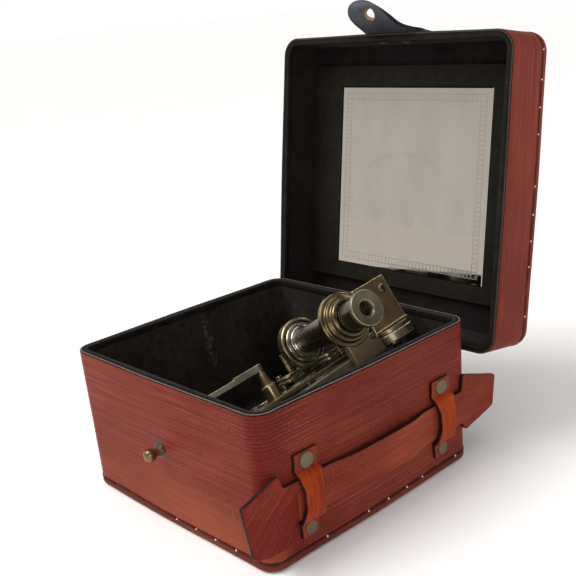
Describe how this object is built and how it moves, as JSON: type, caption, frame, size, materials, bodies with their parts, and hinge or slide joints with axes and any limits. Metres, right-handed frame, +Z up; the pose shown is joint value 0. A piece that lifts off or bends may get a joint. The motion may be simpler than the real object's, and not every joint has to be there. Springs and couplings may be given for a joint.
{
  "type": "sextant case",
  "caption": "Square leather case with a deep hinged lid that drops over it, a strap-and-stud closing, a mirror inside the lid, a side carrying strap and a brass sextant lying in it.",
  "frame": {"origin": "middle of the case's base, on the surface it stands on", "axes": "+Z up; -Y is the front wall with the closing stud; +X is the wall with the carrying strap; the lid hinges along the top of the +Y wall and is open at rest"},
  "size_m": [0.1728, 0.2371, 0.2527],
  "materials": {
    "red_leather": "waxed grain",
    "black_leather": "matt",
    "black_lining": "matt",
    "board": "raw board",
    "thread": "waxed",
    "stud_brass": "aged",
    "rivet_brass": "aged",
    "olive_board": "matt",
    "mirror": "polished",
    "antique_brass": "antique",
    "bright_brass": "polished",
    "dark_brass": "blackened",
    "lens": "clear",
    "shade_glass": "tinted",
    "silver": "satin",
    "grip_wood": "stained"
  },
  "bodies": {
    "case": {"base_panel": "red_leather", "base_seam_thread": "thread", "case_board": "board", "case_leather": "red_leather", "case_lining": "black_lining", "rim_binding": "black_leather", "closing_stud": "stud_brass", "stud_screw": "rivet_brass", "front_keeper": "red_leather", "rear_keeper": "red_leather", "keeper_rivets": "rivet_brass", "keeper_burrs": "rivet_brass", "hinge_leather_case": "red_leather"},
    "carrying_strap": {"carrying_strap": "red_leather", "carrying_strap_lining": "black_leather"},
    "lid": {"lid_board": "board", "lid_leather": "red_leather", "lid_top_panel": "red_leather", "lid_seam_thread": "thread", "lid_lining": "black_lining", "lid_rim_binding": "black_leather", "mirror_board": "olive_board", "lid_mirror": "mirror", "mirror_backing": "board", "hinge_leather_lid": "red_leather", "closing_strap_root": "red_leather", "closing_strap_root_lining": "black_leather", "closing_strap_rivets": "rivet_brass"},
    "closing_strap": {"closing_strap": "red_leather", "closing_strap_lining": "black_leather"},
    "sextant": {"sextant_frame": "antique_brass", "arc_scale": "silver", "sextant_feet": "antique_brass", "sextant_grip": "grip_wood", "grip_brackets": "antique_brass", "telescope_bracket": "antique_brass", "telescope_tube": "antique_brass", "objective_lens": "lens", "horizon_mirror_plate": "antique_brass", "horizon_mirror": "mirror", "shade_posts": "antique_brass"},
    "index_arm": {"index_arm": "antique_brass", "vernier_plate": "silver", "arm_clamp": "antique_brass", "pivot_pin": "antique_brass", "index_mirror_plate": "antique_brass", "mirror_foot_plate": "antique_brass", "index_mirror": "mirror", "mirror_plate_screw": "bright_brass", "magnifier_post": "bright_brass"},
    "eyepiece": {"eyepiece_tube": "dark_brass", "eye_lens": "lens"},
    "magnifier": {"magnifier_arm": "antique_brass", "magnifier_rim": "antique_brass", "magnifier_lens": "lens"},
    "index_shades": {"index_shade_rims": "antique_brass", "index_shade_glasses": "shade_glass"},
    "horizon_shades": {"horizon_shade_rims": "antique_brass", "horizon_shade_glasses": "shade_glass"},
    "tangent_screw": {"tangent_screw": "antique_brass"}
  },
  "joints": [
    {"name": "lid_hinge", "type": "hinge", "parent": "case", "child": "lid", "pos_m": [0, 0.085, 0.0582], "axis": [1, 0, 0], "range_deg": [0, 98.8]},
    {"name": "closing_strap_flap", "type": "hinge", "parent": "lid", "child": "closing_strap", "pos_m": [-0.0015, 0.11159, 0.23061], "axis": [1, 0, 0], "range_deg": [-10, 49], "stiffness_Nm_per_rad": 0.03},
    {"name": "handle_slide", "type": "slide", "parent": "case", "child": "carrying_strap", "axis": [0, 1, 0], "range_m": [-0.004, 0.0035]},
    {"name": "sextant_stow", "type": "hinge", "parent": "case", "child": "sextant", "pos_m": [-0.01676, -0.00151, 0.06349], "axis": [-0.2072, 0.9778, -0.0314], "range_deg": [0, 31.04]},
    {"name": "index_arm_swing", "type": "hinge", "parent": "sextant", "child": "index_arm", "pos_m": [0.03846, 0.05386, 0.07266], "axis": [-0.5033, -0.1112, 0.8569], "range_deg": [-28, 6]},
    {"name": "telescope_focus", "type": "slide", "parent": "sextant", "child": "eyepiece", "axis": [0.8625, -0.1254, 0.4903], "range_m": [-0.006, 0.002]},
    {"name": "magnifier_swing", "type": "hinge", "parent": "index_arm", "child": "magnifier", "pos_m": [0.01904, -0.02564, 0.07428], "axis": [-0.5033, -0.1112, 0.8569], "range_deg": [-25, 45]},
    {"name": "index_shade_turn", "type": "hinge", "parent": "sextant", "child": "index_shades", "pos_m": [0.0136, 0.03988, 0.06208], "axis": [-0.5033, -0.1112, 0.8569], "range_deg": [-10, 60]},
    {"name": "horizon_shade_turn", "type": "hinge", "parent": "sextant", "child": "horizon_shades", "pos_m": [-0.00973, 0.01429, 0.04506], "axis": [-0.5033, -0.1112, 0.8569], "range_deg": [-50, 12]},
    {"name": "tangent_screw_turn", "type": "hinge", "parent": "index_arm", "child": "tangent_screw", "pos_m": [0.02848, -0.05033, 0.05025], "axis": [0.8576, -0.1853, 0.4797], "continuous": true}
  ],
  "couplings": [
    {"joint": "sextant_stow", "follows": "lid_hinge", "ratio": 0.31421}
  ]
}
